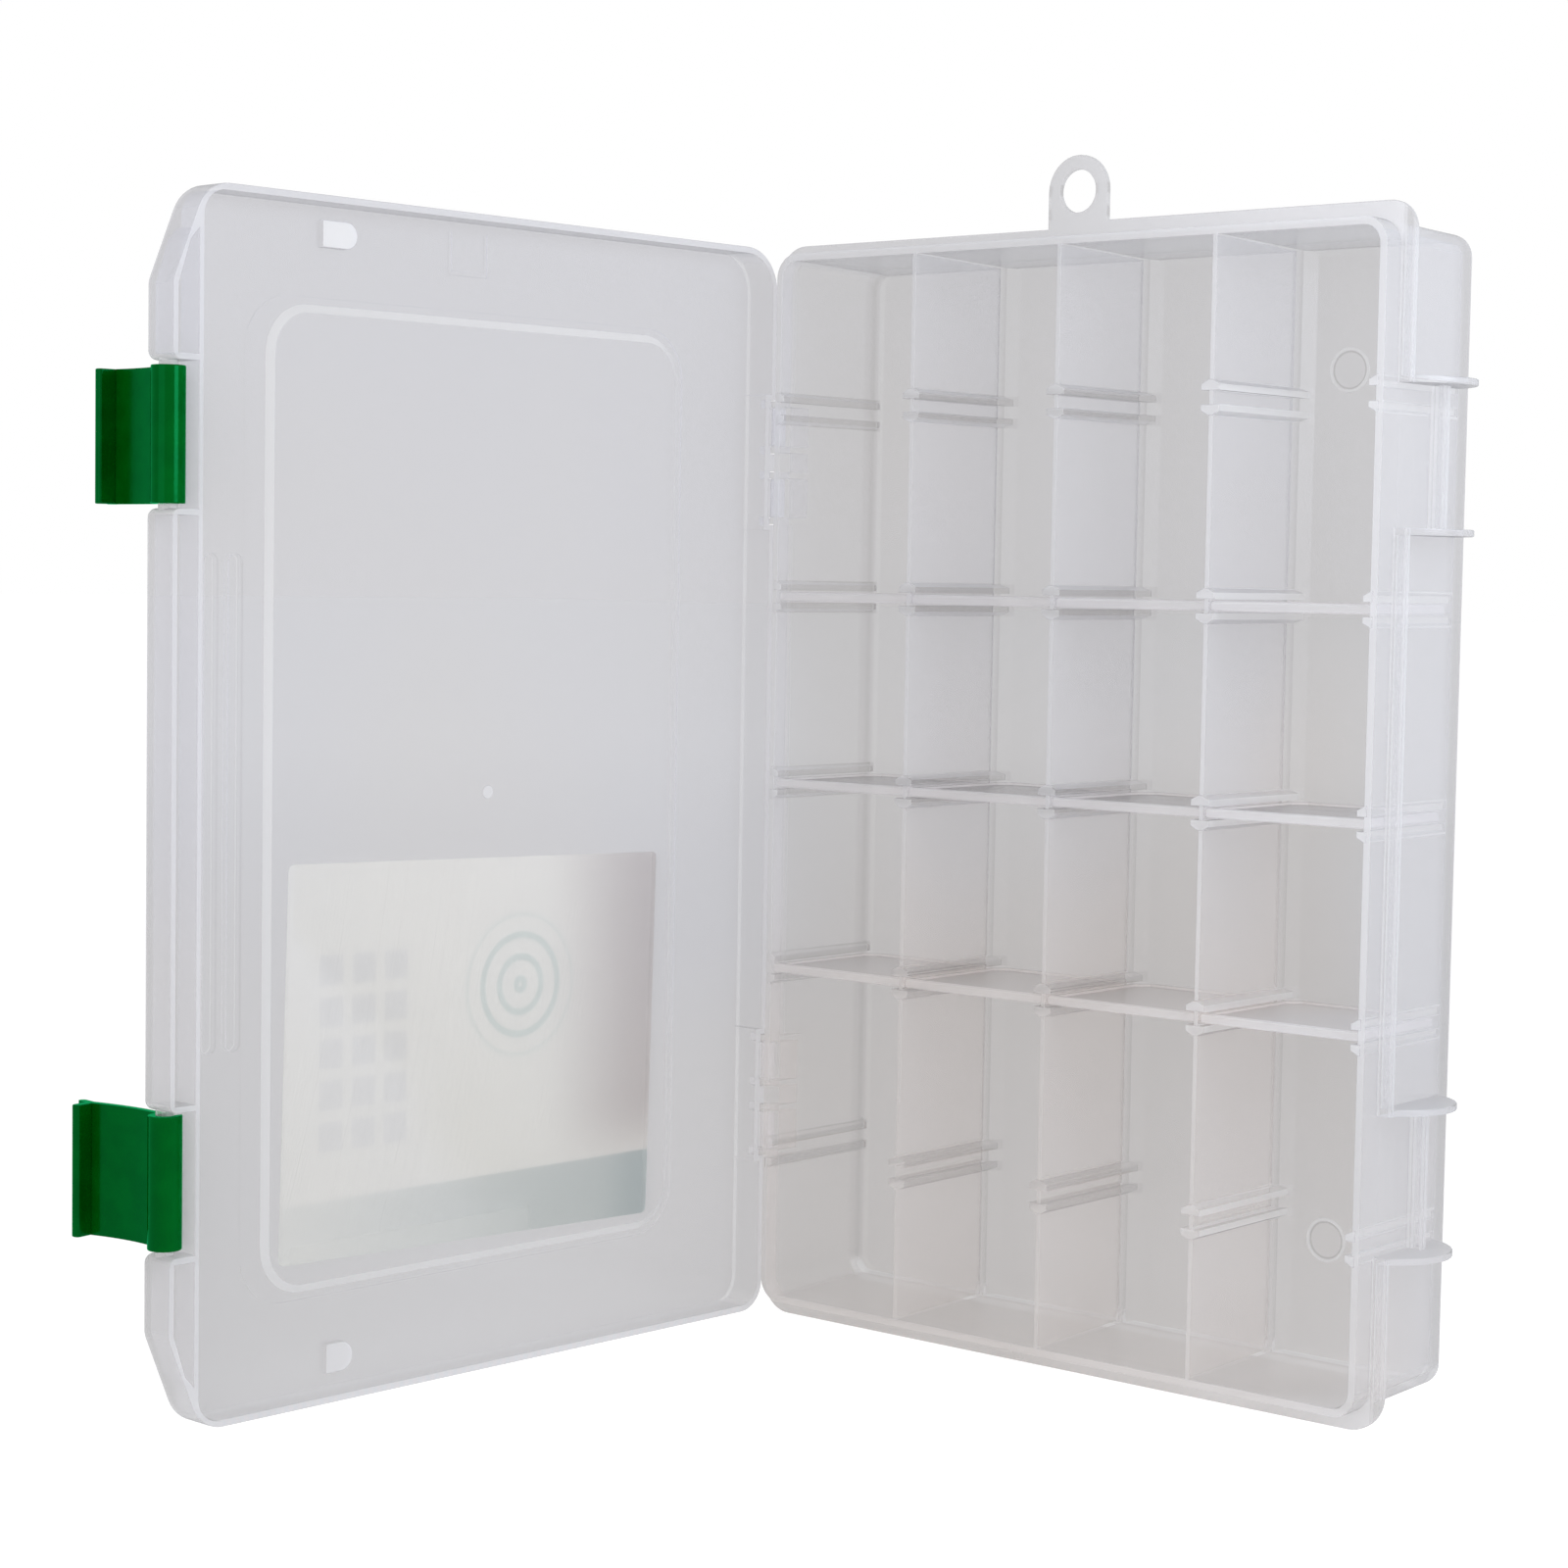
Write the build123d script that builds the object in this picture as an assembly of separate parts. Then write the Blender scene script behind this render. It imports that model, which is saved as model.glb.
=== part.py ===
from build123d import *
import os

# A flat tackle box of clear plastic: a tray with fixed long walls, a hinged lid, two snap
# latches, twelve loose cross dividers and a printed sheet on the lid.
# Every piece is drawn with the box lying on its back and shut: X runs from the hinge to
# the latches, Y along the hinge, Z out of the tray, and the hinge axis is the Y axis.
# At the end the lid and latches are opened and the box is stood on its lower edge.
# Lengths are in millimetres and angles in degrees.

# Tray
TRAY_LENGTH = 356.0
FLANGE_X = (1.0, 237.0)
FLANGE_THICK = 2.0
FLANGE_STEP_Y = 354.1
LIP_X = (6.0, 232.5)
LIP_Y = (5.0, 351.0)
LIP_HEIGHT = 8.0
LIP_CORNER = 8.0
TRAY_WALL = 2.5
FLOOR_THICK = 2.0
TRAY_DEPTH = 45.0
DRAFT_INSET = 0.95
BACK_ROUND = 3.0
FLOOR_ROUND = 2.0
MIDDLE_X = 119.0
MIDDLE_Y = TRAY_LENGTH / 2

# Corner radii, in the order hinge side low, hinge side high, latch side low, latch side high
FLANGE_CORNERS = (10.0, 10.0, 11.5, 8.5)
LID_CORNERS = (9.5, 14.0, 12.0, 12.0)
CAVITY_CORNERS = (7.5, 12.0, 7.5, 7.5)

# Radius of the moulded edges
SOFT = 0.4

# Fixed walls and the rails that hold the dividers
COLUMN_PITCH = 56.0
FIXED_WALLS = [MIDDLE_X + COLUMN_PITCH * step for step in (-1, 0, 1)]
FIXED_HALF_TOP = 0.85
FIXED_HALF_FOOT = 1.3
FOOT_HALF = 4.5
FOOT_HEIGHT = 3.5
LEVEL_PITCH = 61.4
LEVELS = [MIDDLE_Y + LEVEL_PITCH * step for step in (-2, -1, 0, 1, 2)]
SLOT_HALF = 2.1
RAIL_ROOT = 3.2
RAIL_TIP = 1.9
RAIL_REACH = 2.5
SIDE_RAIL_REACH = 4.5
RAIL_PROUD = 0.6
RAIL_FLOOR_GAP = 1.5

# Hang tab
TAB_RADIUS = 10.95
TAB_CENTRE = (119.7, 365.3)
HOLE_RADIUS = 6.55

# Latch and hinge zones, two of each, on opposite long sides
ZONE_OFFSET = 105.5
ZONES = [MIDDLE_Y - ZONE_OFFSET, MIDDLE_Y + ZONE_OFFSET]

# The lid's latch bays sit a little lower than the tray's guards
BAY_DROP = 0.72
BAYS = [zone - BAY_DROP for zone in ZONES]

# Half-moon guards and the catch between them
GUARD_OFFSET = 21.75
GUARD_THICK = 2.0
GUARD_CHORD = 37.0
GUARD_RISE = 13.0
CATCH_Z = (-22.6, -20.2)

# Hinge: pins moulded between plates on the tray, open hooks on the lid
PLATE_OFFSETS = (4.15, 19.25)
PLATE_THICK = 2.0
HINGE_ZONE_HALF = PLATE_OFFSETS[1] + PLATE_THICK / 2
PLATE_SIDE_GAP = 0.3
PLATE_ROUND = 2.1
PLATE_DEPTH = 11.5
PLATE_REAR = (-1.8, -1.05)
WEB_FRONT = [(2.4, -4.4), (1.6, -5.3)]
WEB_FOOT_Z = -9.6
PIN_RADIUS = 1.5
HOOK_BORE = 1.56
HOOK_RADIUS = 3.3
HOOK_MOUTH = 2.4
HOOK_MOUTH_ANGLE = 225.0
HOOK_ARM = (2.6, 5.5)

# Rings on the tray floor
RING_CENTRES = [(191.5, 44.7), (191.5, 311.3)]
RING_RADIUS = 6.75
RING_WIDTH = 0.8
RING_HEIGHT = 0.4

# Lid
LID_GAP = 0.3
LID_TOP = 13.0
LID_X = 243.4
LID_Y = 353.4
PANEL = 2.0
LID_WALL = 2.0
LID_CORNER_X = 232.0
LID_CHAMFER_Y = 28.0
LID_CHAMFER_ROUND = 7.0
LID_EDGE_ROUND = 1.8
CAVITY_X = (2.0, 233.0)
BUMPER_WALL_X = 234.4
BUMPER_SKIN = 1.8
CHANNEL_START = 13.0
CHANNEL_KNEE = (237.6, 16.5)
CHANNEL_SHOULDER = 28.8
BAY_HALF = 20.6
BAY_ROUND = 2.7
PLATE_SLOT_DEPTH = 2.4
PLATE_SLOT_TOP = 5.0
HINGE_WALL = 4.8
PLATEAU_X = (35.5, 203.1)
PLATEAU_Y = (32.0, 322.6)
PLATEAU_CORNER = 15.0
PLATEAU_STEP = 1.3
PLATEAU_SLOPE = 2.4
SUNK_X = (32.0, 209.3)
SUNK_Y = (29.3, 325.0)
SUNK_CORNER = 16.0
SUNK_DEPTH = 0.6
GRIP_CENTRES_X = (213.2, 221.9)
GRIP_WIDTH = 5.0
GRIP_LENGTH = 144.0
GRIP_STEP = 0.7
BLOCK_HEIGHT = 2.4
BLOCKS = [(171.4, 184.4, 339.4, 347.3), (169.8, 180.0, 6.3, 15.2)]
MARK_X = (119.0, 134.6)
MARK_Y = (335.4, 348.4)
MARK_LINE = 1.3
MARK_HEIGHT = 0.5
GATE_CENTRE = (117.5, 178.0)
GATE_RADIUS = 2.0
GATE_HEIGHT = 0.5

# Latches
PIVOT_X = 239.6
PIVOT_Z = 7.6
ROD_RADIUS = 2.7
BARREL_BORE = 2.76
BARREL_RADIUS = 4.9
BARREL_MOUTH = 4.2
MOUTH_ANGLE = 100.0
LATCH_LENGTH = 38.5
RIB = (30.5, 33.5)
RIB_DEPTH = 4.2
RIB_TOP = 2.0
RIB_ROUND = 1.2

# The latch arm's profile: distance along the latch from its pivot, then distance outward
ARM_ROOT_INSIDE = (3.9, 0.6)
ARM_MIDDLE_INSIDE = (17.0, 2.4)
ARM_RIB_INSIDE = (RIB[0], 1.3)
ARM_TIP_INSIDE = [(RIB[1], 1.3), (36.6, 2.2)]
ARM_TIP = (37.6, 3.6)
ARM_TIP_OUTSIDE = (36.2, 4.6)
ARM_LIFT = (32.0, 3.6)
ARM_MIDDLE_OUTSIDE = (17.0, 4.5)
ARM_ROOT_OUTSIDE = (3.4, 3.0)

# Dividers
DIVIDER_LEVELS = {"bottom": LEVELS[1], "middle": LEVELS[2], "top": LEVELS[3]}
DIVIDER_WEB = 1.6
DIVIDER_RIM = 3.0
DIVIDER_RIM_WIDTH = 2.2
DIVIDER_SOFT = 0.8
DIVIDER_SIDE_GAP = 0.4
DIVIDER_FRONT = 7.0
DIVIDER_BACK_GAP = 0.6
DIVIDER_CORNER = 5.0

# Printed sheet
SHEET_SIZE = (151.5, 119.0)
SHEET_THICK = 0.3
SHEET_CENTRE = (117.9, 97.8)
SHEET_TURN = 1.4
SHEET_CORNER = 2.0

# The pose that the box is shown in
LID_OPEN = 92.8
LATCH_OPEN = {"latch_lower": 171.0, "latch_upper": 185.0}

FLOOR_Z = -(TRAY_DEPTH - FLOOR_THICK)

# How far a joined shape runs into its neighbour, how far a cut runs past a face, and how
# near a corner has to be to count as the one asked for
OVERLAP = 0.6
SUNK_ENDS = 1.4
CUT_PAST = 1.0
NEAR = 0.01


def block(x_range, y_range, z_range):
    """A block between two opposite corners."""
    size = [high - low for low, high in (x_range, y_range, z_range)]
    corner = Pos(x_range[0], y_range[0], z_range[0])
    return corner * Box(*size, align=(Align.MIN, Align.MIN, Align.MIN))


def rounded(x_range, y_range, radius, inset=0.0):
    """A rounded rectangle in X and Y, drawn in by inset on every side."""
    width = x_range[1] - x_range[0] - 2 * inset
    height = y_range[1] - y_range[0] - 2 * inset
    centre = Pos(sum(x_range) / 2, sum(y_range) / 2)
    return centre * RectangleRounded(width, height, radius)


def upright(sketch, z_range):
    """A sketch in X and Y, given its height in Z."""
    return Pos(0, 0, z_range[0]) * extrude(sketch, z_range[1] - z_range[0])


def along_y(sketch, y_range):
    """A profile drawn in X and Z, run along Y."""
    start = Plane.XZ.offset(-y_range[1])
    return extrude(start * sketch, y_range[1] - y_range[0])


def outline(points):
    """A closed flat shape from its corners."""
    return make_face(Polyline(*points, close=True))


def corners_at(sketch, points):
    """The corners of a sketch that lie on the given points."""
    return [
        corner
        for corner in sketch.vertices()
        if any(abs(corner.X - x) < NEAR and abs(corner.Y - y) < NEAR for x, y in points)
    ]


def with_corners(x_range, y_range, radii):
    """A rectangle with a radius of its own at each corner."""
    places = [(x, y) for x in x_range for y in y_range]
    shape = outline([places[0], places[2], places[3], places[1]])
    for place, radius in zip(places, radii):
        if radius:
            shape = fillet(corners_at(shape, [place]), radius)
    return shape


def high_edges(solid):
    """The highest ring of edges of a solid."""
    return solid.edges().group_by(Axis.Z)[-1]


def low_edges(solid):
    """The lowest ring of edges of a solid."""
    return solid.edges().group_by(Axis.Z)[0]


def softened(solid, radius=SOFT):
    """A flat solid with its upper and lower outlines rounded."""
    return fillet(high_edges(solid) + low_edges(solid), radius)


def bucket(inset, top, bottom, corner):
    """The tray's tapered body, from the rim plane at top down to bottom."""
    fall = DRAFT_INSET * (top - bottom) / TRAY_DEPTH
    rim = Pos(0, 0, top) * rounded(LIP_X, LIP_Y, corner, inset)
    base = Pos(0, 0, bottom) * rounded(LIP_X, LIP_Y, corner - fall, inset + fall)
    return loft([rim, base], ruled=True)


def tray_hollow():
    """The space inside the tray, from the lip's edge to the floor."""
    corner = LIP_CORNER - TRAY_WALL
    deep = fillet(low_edges(bucket(TRAY_WALL, 0, FLOOR_Z, corner)), FLOOR_ROUND)
    return deep + upright(rounded(LIP_X, LIP_Y, corner, TRAY_WALL), (0, LIP_HEIGHT + CUT_PAST))


def flange():
    """The rim plate round the tray, with the hang tab, open at the latches and hinges."""
    tab_x, tab_y = TAB_CENTRE
    hinge_low, hinge_high, latch_low, latch_high = FLANGE_CORNERS
    hinge_part = (FLANGE_X[0], tab_x)
    latch_part = (tab_x, FLANGE_X[1])
    plate = with_corners(hinge_part, (0, FLANGE_STEP_Y), (hinge_low, hinge_high, 0, 0))
    plate += with_corners(latch_part, (0, TRAY_LENGTH), (0, 0, latch_low, latch_high))
    plate += Pos(tab_x, tab_y - TAB_RADIUS) * Rectangle(2 * TAB_RADIUS, 2 * TAB_RADIUS)
    plate += Pos(tab_x, tab_y) * Circle(TAB_RADIUS)
    plate -= Pos(tab_x, tab_y) * Circle(HOLE_RADIUS)
    solid = softened(upright(plate, (-FLANGE_THICK, 0)))
    guard_gap = GUARD_OFFSET - GUARD_THICK / 2
    for zone in ZONES:
        latch_side = (zone - guard_gap, zone + guard_gap)
        hinge_side = (zone - HINGE_ZONE_HALF, zone + HINGE_ZONE_HALF)
        solid -= block((LIP_X[1], LID_X), latch_side, (-FLANGE_THICK, 0))
        solid -= block((0, LIP_X[0]), hinge_side, (-FLANGE_THICK, 0))
    return solid


def latch_guards():
    """Half-moon plates beside each latch, and the catch that the latch hooks behind."""
    radius = (GUARD_CHORD**2 / 4 + GUARD_RISE**2) / (2 * GUARD_RISE)
    centre_x = LIP_X[1] + GUARD_RISE - radius
    moon = Pos(centre_x, -GUARD_CHORD / 2) * Circle(radius)
    keep = Pos(LIP_X[1] + GUARD_RISE, -GUARD_CHORD / 2) * Rectangle(
        2 * GUARD_RISE + 2 * FLANGE_THICK, GUARD_CHORD
    )
    guard = along_y(moon & keep, (-GUARD_THICK / 2, GUARD_THICK / 2))
    guard = fillet(guard.edges().filter_by(GeomType.CIRCLE), SOFT)
    catch = (LIP_X[1] - FLANGE_THICK, FLANGE_X[1])
    pieces = []
    for zone in ZONES:
        for side in (-1, 1):
            pieces.append(Pos(0, zone + side * GUARD_OFFSET, 0) * guard)
        pieces.append(block(catch, (zone - GUARD_OFFSET, zone + GUARD_OFFSET), CATCH_Z))
    return pieces


def hinge_pins():
    """Plates outside the hinge wall, with a slanted web and a pin between each pair."""
    wall_x = LIP_X[0] + OVERLAP
    foot = (wall_x, -PLATE_DEPTH)
    plate = Circle(PLATE_ROUND) + outline([(0, 0), (wall_x, 0), foot, PLATE_REAR])
    web = outline([foot, (wall_x, WEB_FOOT_Z)] + WEB_FRONT)
    near, far = PLATE_OFFSETS
    pieces = []
    for zone in ZONES:
        for side in (-1, 1):
            for offset in PLATE_OFFSETS:
                centre = zone + side * offset
                pieces.append(along_y(plate, (centre - PLATE_THICK / 2, centre + PLATE_THICK / 2)))
            span = sorted((zone + side * near, zone + side * far))
            pieces.append(along_y(Circle(PIN_RADIUS), span))
        pieces.append(along_y(web, (zone - far, zone + far)))
    return pieces


def rail_pair(centre_x, level, reach):
    """Two rails above and below a slot, standing out by reach on both sides of centre_x."""
    half = upright(
        outline(
            [
                (0, SLOT_HALF),
                (reach, SLOT_HALF),
                (reach, SLOT_HALF + RAIL_TIP),
                (reach - RAIL_REACH, SLOT_HALF + RAIL_ROOT),
                (0, SLOT_HALF + RAIL_ROOT),
            ]
        ),
        (FLOOR_Z + RAIL_FLOOR_GAP, LIP_HEIGHT + RAIL_PROUD),
    )
    rail = half + mirror(half, Plane.YZ)
    rail = fillet(high_edges(rail), SOFT)
    return Pos(centre_x, level, 0) * (rail + mirror(rail, Plane.XZ))


def fixed_walls():
    """The three long walls of the tray, thicker at the foot."""
    foot_z = FLOOR_Z + FOOT_HEIGHT
    right = [
        (FIXED_HALF_TOP, LIP_HEIGHT),
        (FIXED_HALF_FOOT, foot_z),
        (FOOT_HALF, FLOOR_Z),
        (FOOT_HALF, FLOOR_Z - OVERLAP),
    ]
    left = [(-x, z) for x, z in reversed(right)]
    span = (LIP_Y[0] + SUNK_ENDS, LIP_Y[1] - SUNK_ENDS)
    profile = outline(right + left)
    top_corners = corners_at(profile, [right[0], left[-1]])
    wall = along_y(fillet(top_corners, SOFT), span)
    return [Pos(x, 0, 0) * wall for x in FIXED_WALLS]


def rails():
    """Rail pairs at every level, on the fixed walls and inside both long sides."""
    inner_x = (LIP_X[0] + SUNK_ENDS, LIP_X[1] - SUNK_ENDS)
    room = block(inner_x, LIP_Y, (-TRAY_DEPTH, LIP_HEIGHT + CUT_PAST))
    pieces = []
    for level in LEVELS:
        for x in FIXED_WALLS:
            pieces.append(rail_pair(x, level, FIXED_HALF_TOP + RAIL_REACH))
        for x in LIP_X:
            pieces.append(rail_pair(x, level, SIDE_RAIL_REACH) & room)
    return pieces


def tray():
    """The tray moulding."""
    body = fillet(low_edges(bucket(0, 0, -TRAY_DEPTH, LIP_CORNER)), BACK_ROUND)
    body += upright(rounded(LIP_X, LIP_Y, LIP_CORNER), (0, LIP_HEIGHT))
    body += flange()
    for piece in latch_guards() + hinge_pins():
        body += piece
    body -= tray_hollow()
    body = fillet(high_edges(body), SOFT)
    for piece in fixed_walls() + rails():
        body += piece
    for x, y in RING_CENTRES:
        ring = Circle(RING_RADIUS) - Circle(RING_RADIUS - RING_WIDTH)
        body += Pos(x, y, 0) * upright(ring, (FLOOR_Z - OVERLAP, FLOOR_Z + RING_HEIGHT))
    return body


def lid_outline():
    """The lid's edge, with slanted corners and a bay for each latch."""
    shape = outline(
        [
            (0, 0),
            (LID_CORNER_X, 0),
            (LID_X, LID_CHAMFER_Y),
            (LID_X, LID_Y - LID_CHAMFER_Y),
            (LID_CORNER_X, LID_Y),
            (0, LID_Y),
        ]
    )
    for bay in BAYS:
        bay_width = LID_X - BUMPER_WALL_X
        shape -= Pos(LID_X, bay) * Rectangle(2 * bay_width, 2 * BAY_HALF)
    corners = {
        (0, 0): LID_CORNERS[0],
        (0, LID_Y): LID_CORNERS[1],
        (LID_CORNER_X, 0): LID_CORNERS[2],
        (LID_CORNER_X, LID_Y): LID_CORNERS[3],
        (LID_X, LID_CHAMFER_Y): LID_CHAMFER_ROUND,
        (LID_X, LID_Y - LID_CHAMFER_Y): LID_CHAMFER_ROUND,
    }
    for bay in BAYS:
        for side in (-1, 1):
            corners[(LID_X, bay + side * BAY_HALF)] = BAY_ROUND
    for point, radius in corners.items():
        shape = fillet(corners_at(shape, [point]), radius)
    return shape


def bumper_channels():
    """The open channels inside the lid's latch edge, beside and between the bays."""
    end = BAY_HALF + BUMPER_SKIN
    channel_x = LID_X - BUMPER_SKIN
    low, high = BAYS
    sketches = []
    for edge, inward, bay_y in ((0, 1, low - end), (LID_Y, -1, high + end)):
        corners = [
            (BUMPER_WALL_X, edge + inward * CHANNEL_START),
            (CHANNEL_KNEE[0], edge + inward * CHANNEL_KNEE[1]),
            (channel_x, edge + inward * CHANNEL_SHOULDER),
            (channel_x, bay_y),
            (BUMPER_WALL_X, bay_y),
        ]
        sketches.append(outline(corners))
    centre = Pos((BUMPER_WALL_X + channel_x) / 2, (low + high) / 2)
    sketches.append(centre * Rectangle(channel_x - BUMPER_WALL_X, high - low - 2 * end))
    return [upright(sketch, (LID_GAP, LID_TOP - PANEL)) for sketch in sketches]


def lid_hooks():
    """Open hooks that clip over the tray's hinge pins."""
    inner_x = HINGE_WALL
    arm_top = (inner_x, HOOK_ARM[1])
    arm = outline([(0, HOOK_RADIUS), HOOK_ARM, arm_top, (inner_x, LID_GAP), (0, LID_GAP)])
    opening = Pos(HOOK_RADIUS, 0) * Rectangle(2 * HOOK_RADIUS, HOOK_MOUTH)
    mouth = Rot(0, 0, HOOK_MOUTH_ANGLE) * opening
    hook = Circle(HOOK_RADIUS) + arm - Circle(HOOK_BORE) - mouth
    edge = PLATE_THICK / 2 + PLATE_SIDE_GAP
    near, far = PLATE_OFFSETS
    pieces = []
    for zone in ZONES:
        for side in (-1, 1):
            span = sorted((zone + side * (near + edge), zone + side * (far - edge)))
            pieces.append(along_y(hook, span))
    return pieces


def lid_hinge_wall(zone):
    """The thick hinge wall of the lid at one zone, and its slots for plates and pins."""
    half = HINGE_ZONE_HALF + LID_WALL
    wall_z = (LID_GAP, LID_TOP - PANEL + OVERLAP)
    wall = block((CAVITY_X[0], HINGE_WALL), (zone - half, zone + half), wall_z)
    slot_half = PLATE_THICK / 2 + PLATE_SIDE_GAP
    slots = []
    for side in (-1, 1):
        for offset in PLATE_OFFSETS:
            centre = zone + side * offset
            slot_y = (centre - slot_half, centre + slot_half)
            slots.append(block((-CUT_PAST, PLATE_SLOT_DEPTH), slot_y, (0, PLATE_SLOT_TOP)))
        pin_y = sorted(zone + side * offset for offset in PLATE_OFFSETS)
        slots.append(along_y(Circle(HOOK_BORE), pin_y))
    return wall, slots


def plateau(under):
    """The raised middle of the panel's inner side, with slanted borders."""
    foot = rounded(PLATEAU_X, PLATEAU_Y, PLATEAU_CORNER)
    face_corner = PLATEAU_CORNER - PLATEAU_SLOPE
    face = rounded(PLATEAU_X, PLATEAU_Y, face_corner, PLATEAU_SLOPE)
    raised = loft([Pos(0, 0, under) * foot, Pos(0, 0, under - PLATEAU_STEP) * face], ruled=True)
    return fillet(low_edges(raised), SOFT)


def lid_blocks(under):
    """Two low blocks with a rounded end toward the hinge."""
    pieces = []
    for x0, x1, y0, y1 in BLOCKS:
        radius = (y1 - y0) / 2
        shape = Pos((x0 + radius + x1) / 2, (y0 + y1) / 2) * Rectangle(x1 - x0 - radius, y1 - y0)
        shape += Pos(x0 + radius, (y0 + y1) / 2) * Circle(radius)
        piece = upright(shape, (under - BLOCK_HEIGHT, under + OVERLAP))
        pieces.append(fillet(low_edges(piece), SOFT))
    return pieces


def lid_mark(under):
    """A thin raised line on three sides of a small rectangle, open at the edge side."""
    centre = Pos(sum(MARK_X) / 2, sum(MARK_Y) / 2)
    width = MARK_X[1] - MARK_X[0]
    height = MARK_Y[1] - MARK_Y[0]
    shape = centre * Rectangle(width, height)
    shape -= centre * Pos(0, MARK_LINE) * Rectangle(width - 2 * MARK_LINE, height)
    return upright(shape, (under - MARK_HEIGHT, under + OVERLAP))


def lid():
    """The lid moulding, shut."""
    body = upright(lid_outline(), (LID_GAP, LID_TOP))
    body = fillet(high_edges(body), LID_EDGE_ROUND)
    body = fillet(low_edges(body), SOFT)
    cavity_y = (LID_WALL, LID_Y - LID_WALL)
    under = LID_TOP - PANEL
    body -= upright(with_corners(CAVITY_X, cavity_y, CAVITY_CORNERS), (0, under))
    for channel in bumper_channels():
        body -= channel
    for zone in ZONES:
        wall, slots = lid_hinge_wall(zone)
        body += wall
        for slot in slots:
            body -= slot
    for bay in BAYS:
        rod = Pos(PIVOT_X, PIVOT_Z) * Circle(ROD_RADIUS)
        rod_half = BAY_HALF + SUNK_ENDS
        body += along_y(rod, (bay - rod_half, bay + rod_half))
    for hook in lid_hooks():
        body += hook
    body += plateau(under)
    sunk = rounded(SUNK_X, SUNK_Y, SUNK_CORNER)
    body -= upright(sunk, (LID_TOP - SUNK_DEPTH, LID_TOP))
    for x in GRIP_CENTRES_X:
        grip = Pos(x, MIDDLE_Y) * SlotOverall(GRIP_LENGTH, GRIP_WIDTH, rotation=90)
        ridge = upright(grip, (LID_TOP - OVERLAP, LID_TOP + GRIP_STEP))
        body += fillet(high_edges(ridge), SOFT)
        body -= upright(grip, (under, under + GRIP_STEP))
    for piece in lid_blocks(under):
        body += piece
    body += lid_mark(under)
    gate_z = under - PLATEAU_STEP
    gate = Pos(*GATE_CENTRE) * Circle(GATE_RADIUS)
    body += upright(gate, (gate_z - GATE_HEIGHT, gate_z + OVERLAP))
    return body


def latch():
    """One latch about its own pivot, shut: the tip points down the tray, along -Z."""

    def at(along, out):
        return (out, -along)

    arm_inside = ThreePointArc(
        at(*ARM_ROOT_INSIDE), at(*ARM_MIDDLE_INSIDE), at(*ARM_RIB_INSIDE)
    )
    tip_inside = Polyline(at(*ARM_RIB_INSIDE), *[at(*point) for point in ARM_TIP_INSIDE])
    tip_end = ThreePointArc(at(*ARM_TIP_INSIDE[-1]), at(*ARM_TIP), at(*ARM_TIP_OUTSIDE))
    lift = Line(at(*ARM_TIP_OUTSIDE), at(*ARM_LIFT))
    arm_outside = ThreePointArc(
        at(*ARM_LIFT), at(*ARM_MIDDLE_OUTSIDE), at(*ARM_ROOT_OUTSIDE)
    )
    root = Line(at(*ARM_ROOT_OUTSIDE), at(*ARM_ROOT_INSIDE))
    arm = make_face([arm_inside, tip_inside, tip_end, lift, arm_outside, root])
    rib_centre = at(sum(RIB) / 2, (RIB_TOP - RIB_DEPTH) / 2)
    rib = Pos(*rib_centre) * RectangleRounded(RIB_TOP + RIB_DEPTH, RIB[1] - RIB[0], RIB_ROUND)
    opening = Pos(BARREL_RADIUS, 0) * Rectangle(2 * BARREL_RADIUS, BARREL_MOUTH)
    mouth = Rot(0, 0, MOUTH_ANGLE - 90) * opening
    span = (-LATCH_LENGTH / 2, LATCH_LENGTH / 2)
    solid = along_y(arm, span)
    for profile in (Circle(BARREL_RADIUS), rib):
        bar = along_y(profile, span)
        ends = bar.edges().group_by(Axis.Y)
        solid += fillet(ends[0] + ends[-1], SOFT)
    return solid - along_y(Circle(BARREL_BORE), span) - along_y(mouth, span)


def column_edges(column, z):
    """The X of both sides of a tray column at a height."""
    fall = DRAFT_INSET * max(0.0, -z) / TRAY_DEPTH
    wall_height = LIP_HEIGHT - FLOOR_Z - FOOT_HEIGHT
    swell = (FIXED_HALF_FOOT - FIXED_HALF_TOP) * (LIP_HEIGHT - z) / wall_height
    half = FIXED_HALF_TOP + swell
    low = LIP_X[0] + TRAY_WALL + fall if column == 0 else FIXED_WALLS[column - 1] + half
    high = LIP_X[1] - TRAY_WALL - fall if column == 3 else FIXED_WALLS[column] - half
    return low, high


def divider(column):
    """A loose cross divider for one column, about its own middle plane."""
    back_z = FLOOR_Z + DIVIDER_BACK_GAP
    gap = DIVIDER_SIDE_GAP
    corner_z = back_z + DIVIDER_CORNER
    front_low, front_high = column_edges(column, DIVIDER_FRONT)
    corner_low, corner_high = column_edges(column, corner_z)
    points = [
        (front_low + gap, DIVIDER_FRONT),
        (front_high - gap, DIVIDER_FRONT),
        (corner_high - gap, corner_z),
        (corner_high - gap - DIVIDER_CORNER, back_z),
        (corner_low + gap + DIVIDER_CORNER, back_z),
        (corner_low + gap, corner_z),
    ]
    plate = outline(points)
    window = offset(plate, -DIVIDER_RIM_WIDTH, kind=Kind.INTERSECTION)
    rim = along_y(plate, (-DIVIDER_RIM / 2, DIVIDER_RIM / 2))
    sides = rim.edges().group_by(Axis.Y)
    rim = fillet(sides[0] + sides[-1], DIVIDER_SOFT)
    rim -= along_y(window, (-DIVIDER_RIM, DIVIDER_RIM))
    return rim + along_y(plate, (-DIVIDER_WEB / 2, DIVIDER_WEB / 2))


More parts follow.
